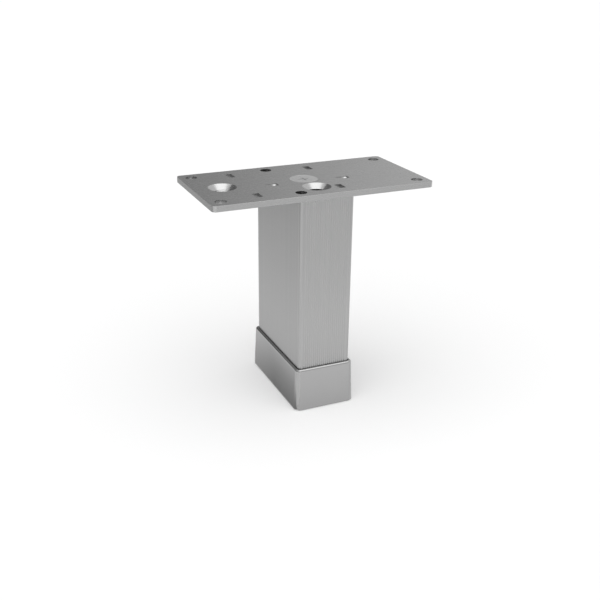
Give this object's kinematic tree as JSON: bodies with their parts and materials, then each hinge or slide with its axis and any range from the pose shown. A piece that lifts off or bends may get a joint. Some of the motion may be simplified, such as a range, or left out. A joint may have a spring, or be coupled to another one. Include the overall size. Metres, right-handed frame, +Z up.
{
  "type": "bed leg with mounting plate",
  "caption": "Bed leg: a steel mounting plate with screw holes on top of a fluted rectangular aluminium tube that stands in a tapered metal boot.",
  "frame": {"origin": "on the floor, under the middle of the plate, the tube and the boot", "axes": "+X along the plate's long side, +Y along the tube's wide side, away from the plate's side place, +Z up to the bed"},
  "size_m": [0.162, 0.0868, 0.16],
  "materials": {
    "plate_steel": "zinc-plated sheet, fine rolled grain",
    "tube_aluminium": "satin anodised, drawn lines along the tube",
    "screw_steel": "zinc-plated",
    "boot_metal": "die-cast, satin nickel look",
    "glide_plastic": "moulded, matt"
  },
  "bodies": {
    "root": {"mounting_plate": "plate_steel", "leg_tube": "tube_aluminium", "plate_screw": "screw_steel", "boot": "boot_metal", "boot_screw": "screw_steel", "glide": "glide_plastic"}
  },
  "joints": []
}
